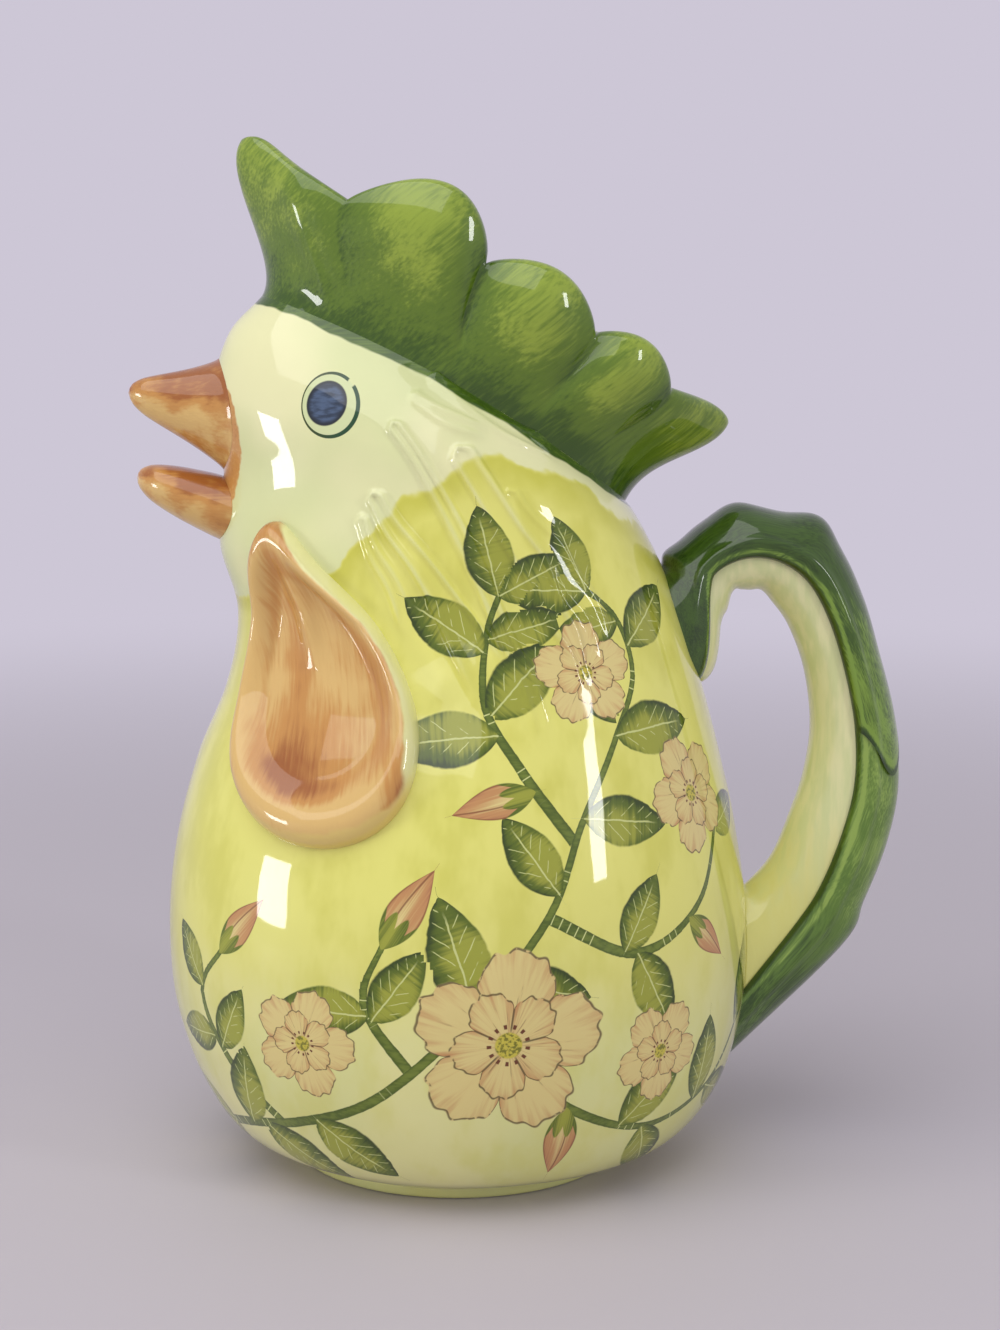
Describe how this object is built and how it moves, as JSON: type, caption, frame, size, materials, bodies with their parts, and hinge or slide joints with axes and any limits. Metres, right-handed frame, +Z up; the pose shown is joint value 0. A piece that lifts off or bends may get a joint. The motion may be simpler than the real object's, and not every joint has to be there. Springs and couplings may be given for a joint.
{
  "type": "chicken pitcher",
  "caption": "Glazed ceramic pitcher shaped like a hen, with a scalloped comb rim, a pouring spike, a beak, wattles and a feathered loop handle.",
  "frame": {"origin": "centre of the foot ring, on the plane that the pitcher stands on", "axes": "+Z up, the bird looks along -X, the handle is at +X, and the XZ plane is the pitcher's mirror plane"},
  "size_m": [0.2141, 0.15, 0.2802],
  "materials": {
    "bare_clay": "matte",
    "body_glaze": "gloss",
    "comb_glaze": "gloss",
    "amber_glaze": "gloss",
    "handle_glaze": "gloss",
    "dark_feather_glaze": "gloss",
    "light_feather_glaze": "gloss"
  },
  "bodies": {
    "root": {"foot_ring": "bare_clay", "body": "body_glaze", "comb": "comb_glaze", "upper_beak": "amber_glaze", "lower_beak": "amber_glaze", "left_wattle": "amber_glaze", "right_wattle": "amber_glaze", "handle": "handle_glaze", "handle_upper_feather": "dark_feather_glaze", "handle_lower_feather": "light_feather_glaze"}
  },
  "joints": []
}
